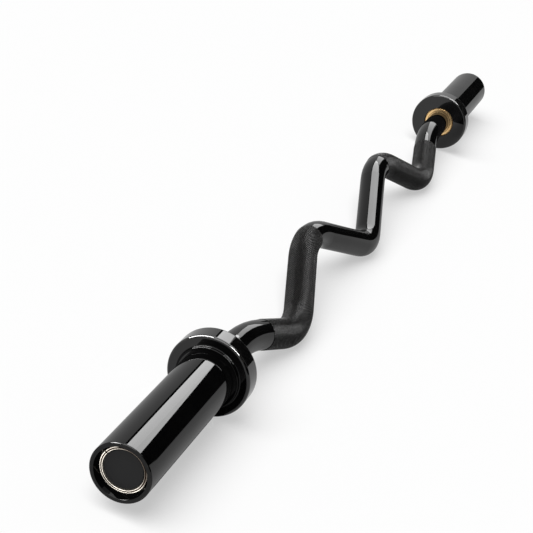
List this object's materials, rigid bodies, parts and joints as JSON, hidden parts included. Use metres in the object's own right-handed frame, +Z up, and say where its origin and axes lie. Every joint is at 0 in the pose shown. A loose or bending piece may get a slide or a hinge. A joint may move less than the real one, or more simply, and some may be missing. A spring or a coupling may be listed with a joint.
{
  "type": "curl bar",
  "caption": "Zigzag curl bar with knurled angled grips and free-spinning flanged sleeves that carry weight plates.",
  "frame": {"origin": "on the floor under the middle of the bar, below the sleeve axis", "axes": "+X along the sleeve axis towards the right sleeve, +Z up, and the low bends of the zigzag on the -Y side"},
  "size_m": [1.2, 0.074, 0.074],
  "materials": {
    "black_gloss": "smooth gloss black coat on steel, matt where the shaft is knurled",
    "bronze": "turned bronze",
    "seal_rubber": "matt rubber",
    "spring_steel": "oiled spring steel",
    "cap_moulding": "moulded black plastic",
    "cap_plate": "satin black disc, bare",
    "bright_ring": "polished, with a warm tint"
  },
  "bodies": {
    "bar": {"shaft": "black_gloss", "left_inner_washer": "bronze", "left_seal_ring": "seal_rubber", "left_outer_washer": "spring_steel", "left_snap_ring": "spring_steel", "right_inner_washer": "bronze", "right_seal_ring": "seal_rubber", "right_outer_washer": "spring_steel", "right_snap_ring": "spring_steel"},
    "left_sleeve": {"left_sleeve_tube": "black_gloss", "left_collar": "black_gloss", "left_inner_bushing": "bronze", "left_outer_bushing": "bronze", "left_end_cap": "cap_moulding", "left_end_plate": "cap_plate", "left_end_ring": "bright_ring"},
    "right_sleeve": {"right_sleeve_tube": "black_gloss", "right_collar": "black_gloss", "right_inner_bushing": "bronze", "right_outer_bushing": "bronze", "right_end_cap": "cap_moulding", "right_end_plate": "cap_plate", "right_end_ring": "bright_ring"}
  },
  "joints": [
    {"name": "left_sleeve_spin", "type": "hinge", "parent": "bar", "child": "left_sleeve", "pos_m": [-0.5, 0, 0.037], "axis": [1, 0, 0], "continuous": true},
    {"name": "right_sleeve_spin", "type": "hinge", "parent": "bar", "child": "right_sleeve", "pos_m": [0.5, 0, 0.037], "axis": [1, 0, 0], "continuous": true}
  ]
}
